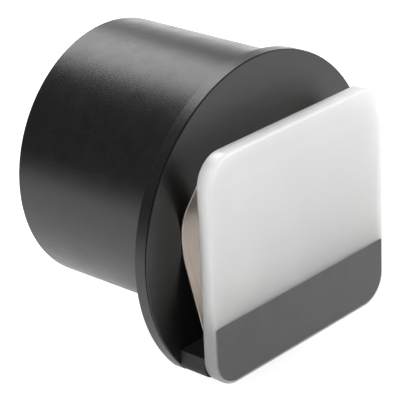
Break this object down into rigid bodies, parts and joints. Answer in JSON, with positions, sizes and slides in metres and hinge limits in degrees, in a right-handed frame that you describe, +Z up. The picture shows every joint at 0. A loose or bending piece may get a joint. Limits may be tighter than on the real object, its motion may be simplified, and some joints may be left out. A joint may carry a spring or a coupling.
{
  "type": "slide copying adapter",
  "caption": "Telescoping barrel that screws into a camera lens and holds a mounted film slide between a round flange and an opal diffuser.",
  "frame": {"origin": "on the barrel's axis, in the shoulder plane where the lens thread begins", "axes": "+Y along the barrel towards the lens, +Z up, the diffuser faces -Y"},
  "size_m": [0.0716, 0.0539, 0.061],
  "materials": {
    "satin_black_paint": "satin black paint with a fine grain",
    "black_anodised": "black anodised, turned",
    "baffle_black": "dull black, against reflections",
    "black_plastic": "moulded, matt",
    "opal_acrylic": "milky white, polished with rounded edges",
    "label_grey": "dark grey satin print",
    "nickel_silver": "rolled strip, warm nickel silver",
    "brass": "turned",
    "bright_steel": "rolled thread",
    "black_steel": "blackened steel",
    "nylon": "natural nylon"
  },
  "bodies": {
    "lens_tube": {"inner_tube": "black_anodised", "lens_thread_ring": "black_anodised", "thread_ring_screws": "black_steel", "retaining_ring": "black_anodised", "light_baffle": "baffle_black", "baffle_clip": "black_steel"},
    "slip_ring": {"guide_ring": "nylon"},
    "holder": {"barrel": "satin_black_paint", "flange": "satin_black_paint", "flange_screws": "black_steel", "gate_mask": "baffle_black", "slide_ledge": "black_plastic", "ledge_screws": "black_steel", "diffuser": "opal_acrylic", "diffuser_screws": "black_steel", "label_plate": "label_grey", "lock_bush": "brass"},
    "left_leaf": {"left_leaf_spring": "nickel_silver"},
    "right_leaf": {"right_leaf_spring": "nickel_silver"},
    "pad": {"lock_pad": "nylon"},
    "lock_screw": {"lock_stud": "bright_steel", "lock_knob": "black_anodised"}
  },
  "joints": [
    {"name": "barrel_turn", "type": "hinge", "parent": "lens_tube", "child": "slip_ring", "pos_m": [0, 0, 0], "axis": [0, 1, 0], "continuous": true},
    {"name": "barrel_slide", "type": "slide", "parent": "slip_ring", "child": "holder", "axis": [0, -1, 0], "range_m": [0, 0.022]},
    {"name": "left_leaf_flex", "type": "hinge", "parent": "holder", "child": "left_leaf", "pos_m": [-0.02225, -0.0473, -0.0251], "axis": [1, 0, 0], "range_deg": [0, 7], "stiffness_Nm_per_rad": 0.05, "springref_deg": -5.73, "deforming": ["left_leaf_spring"]},
    {"name": "right_leaf_flex", "type": "hinge", "parent": "holder", "child": "right_leaf", "pos_m": [0.02225, -0.0473, -0.0251], "axis": [1, 0, 0], "range_deg": [0, 7], "stiffness_Nm_per_rad": 0.05, "springref_deg": -5.73, "deforming": ["right_leaf_spring"]},
    {"name": "lock_travel", "type": "slide", "parent": "holder", "child": "pad", "axis": [1, 0, 0], "range_m": [0, 0.001]},
    {"name": "lock_turn", "type": "hinge", "parent": "pad", "child": "lock_screw", "pos_m": [0.0335, -0.0045, 0], "axis": [1, 0, 0], "range_deg": [0, 720]}
  ],
  "couplings": [
    {"joint": "lock_turn", "follows": "lock_travel", "rad_per_m": 12566}
  ]
}
